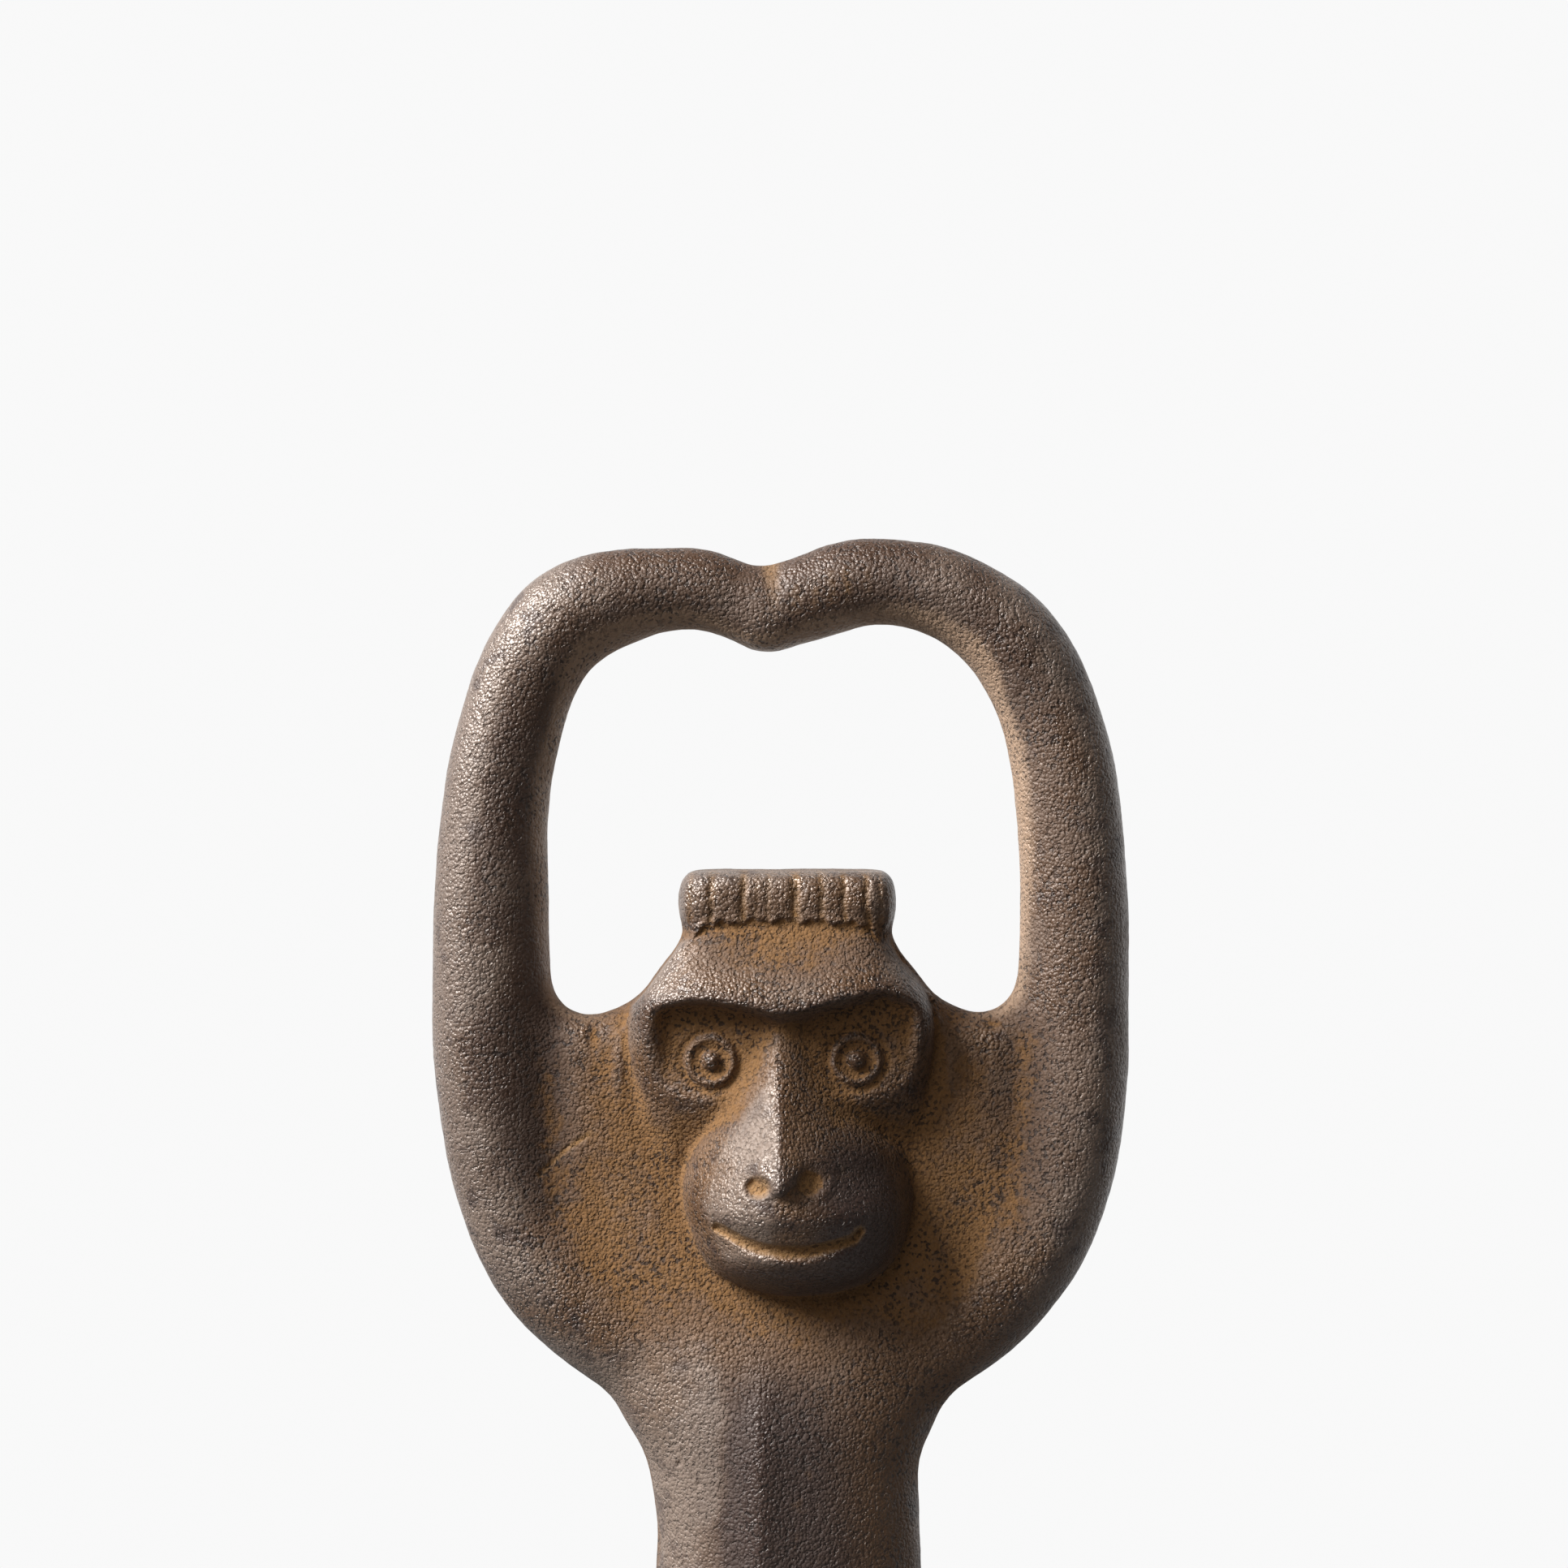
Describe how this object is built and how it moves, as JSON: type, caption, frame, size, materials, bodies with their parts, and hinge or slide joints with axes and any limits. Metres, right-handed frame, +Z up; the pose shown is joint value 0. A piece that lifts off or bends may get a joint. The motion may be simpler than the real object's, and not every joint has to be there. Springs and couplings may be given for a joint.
{
  "type": "bottle opener",
  "caption": "Cast-iron bottle opener shaped as a standing monkey: raised arms form a loop with a lip that hooks a crown cap, and the flat crest of the head is its rest.",
  "frame": {"origin": "on the floor under the middle of the casting's box, with the flat sole at z = 0", "axes": "+Z up the figure to the hands, the face towards -Y, +X to the figure's left"},
  "size_m": [0.06, 0.0258, 0.1489],
  "materials": {
    "cast_iron": "brown waxed sand-cast skin with ochre rust in the recesses"
  },
  "bodies": {
    "root": {"opener_casting": "cast_iron"}
  },
  "joints": []
}
